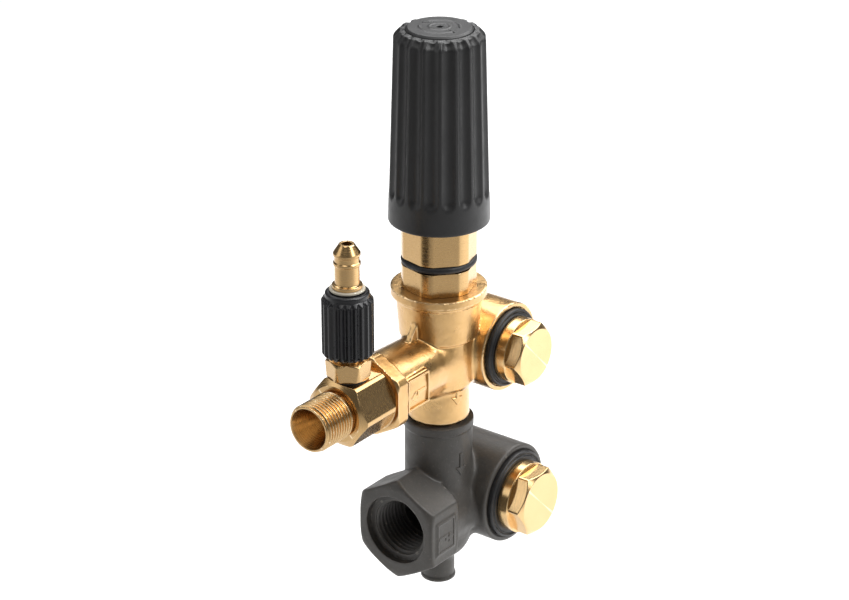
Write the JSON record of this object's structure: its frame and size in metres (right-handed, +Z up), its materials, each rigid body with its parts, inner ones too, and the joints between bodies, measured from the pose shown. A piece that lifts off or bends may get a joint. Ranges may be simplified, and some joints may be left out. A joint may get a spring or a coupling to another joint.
{
  "type": "pressure washer unloader valve",
  "caption": "Brass unloader valve with adjusting knob, banjo bolts for the pump head, threaded inlet and outlet, and a chemical injector with a hose barb on the outlet.",
  "frame": {"origin": "on the upper banjo bolt's axis, at the middle of its free thread, which screws into the pump's delivery port", "axes": "+Z up along the barrel towards the adjusting knob, -X along both banjo bolts into the pump, -Y along the outlet and the inlet"},
  "size_m": [0.0564, 0.108, 0.2049],
  "materials": {
    "cast_brass": "satin cast",
    "turned_brass": "machined",
    "housing_black": "fine grained",
    "knob_black": "satin moulded",
    "gloss_black": "glossy moulded",
    "rubber_black": "matte",
    "stainless": "machined",
    "pale_plastic": "smooth"
  },
  "bodies": {
    "valve_body": {"delivery_body": "cast_brass", "inlet_body": "housing_black", "bonnet": "turned_brass", "bonnet_ring": "rubber_black", "bonnet_seal": "rubber_black", "rod_guide": "turned_brass", "rod_seal": "rubber_black", "backup_ring": "pale_plastic", "valve_seat": "stainless", "seat_ring": "rubber_black", "spigot_ring_upper": "rubber_black", "spigot_ring_lower": "rubber_black", "delivery_bolt": "turned_brass", "delivery_head_seal": "rubber_black", "delivery_back_seal": "rubber_black", "suction_bolt": "turned_brass", "suction_head_seal": "rubber_black", "suction_back_seal": "rubber_black", "check_seat": "stainless", "check_seat_ring": "rubber_black", "check_spring": "stainless", "poppet_guide": "stainless", "injector_body": "cast_brass", "injector_washer": "turned_brass", "injector_ring": "rubber_black", "venturi_nozzle": "stainless", "nozzle_ring": "rubber_black", "metering_base": "turned_brass", "metering_seal": "rubber_black", "ball_clip": "stainless", "suction_spring": "stainless", "hose_barb": "turned_brass", "barb_ring": "pale_plastic", "main_spring": "stainless"},
    "adjust_carriage": {"upper_spring_plate": "stainless"},
    "knob": {"adjusting_knob": "knob_black", "knob_cap": "knob_black", "spindle": "turned_brass", "knob_insert": "turned_brass", "knob_nut": "stainless"},
    "piston": {"piston_rod": "stainless", "lower_spring_plate": "stainless", "plate_nut": "stainless", "shutter_ball": "stainless"},
    "check_valve": {"check_poppet": "stainless"},
    "injector_ball": {"suction_ball": "stainless"},
    "metering": {"metering_knob": "gloss_black", "throttle_sleeve": "turned_brass"}
  },
  "joints": [
    {"name": "adjust_travel", "type": "slide", "parent": "valve_body", "child": "adjust_carriage", "axis": [0, 0, 1], "range_m": [-0.0045, 0.003], "deforming": ["main_spring"]},
    {"name": "knob_turn", "type": "hinge", "parent": "adjust_carriage", "child": "knob", "pos_m": [0.0202, -0.0195, 0.08], "axis": [0, 0, 1], "range_deg": [-1081, 721]},
    {"name": "piston_lift", "type": "slide", "parent": "valve_body", "child": "piston", "axis": [0, 0, 1], "range_m": [0, 0.002], "stiffness_N_per_m": 8000, "springref_m": -0.003, "deforming": ["main_spring"]},
    {"name": "check_open", "type": "slide", "parent": "valve_body", "child": "check_valve", "axis": [0, -1, 0], "range_m": [0, 0.003], "stiffness_N_per_m": 200, "springref_m": -0.004, "deforming": ["check_spring"]},
    {"name": "ball_drop", "type": "slide", "parent": "valve_body", "child": "injector_ball", "axis": [0, 0, -1], "range_m": [0, 0.0009], "stiffness_N_per_m": 40, "springref_m": -0.002, "deforming": ["suction_spring"]},
    {"name": "metering_turn", "type": "hinge", "parent": "valve_body", "child": "metering", "pos_m": [0.0202, -0.069, 0.03], "axis": [0, 0, 1], "range_deg": [-270, 0]}
  ],
  "couplings": [
    {"joint": "knob_turn", "follows": "adjust_travel", "rad_per_m": 4188.8}
  ]
}
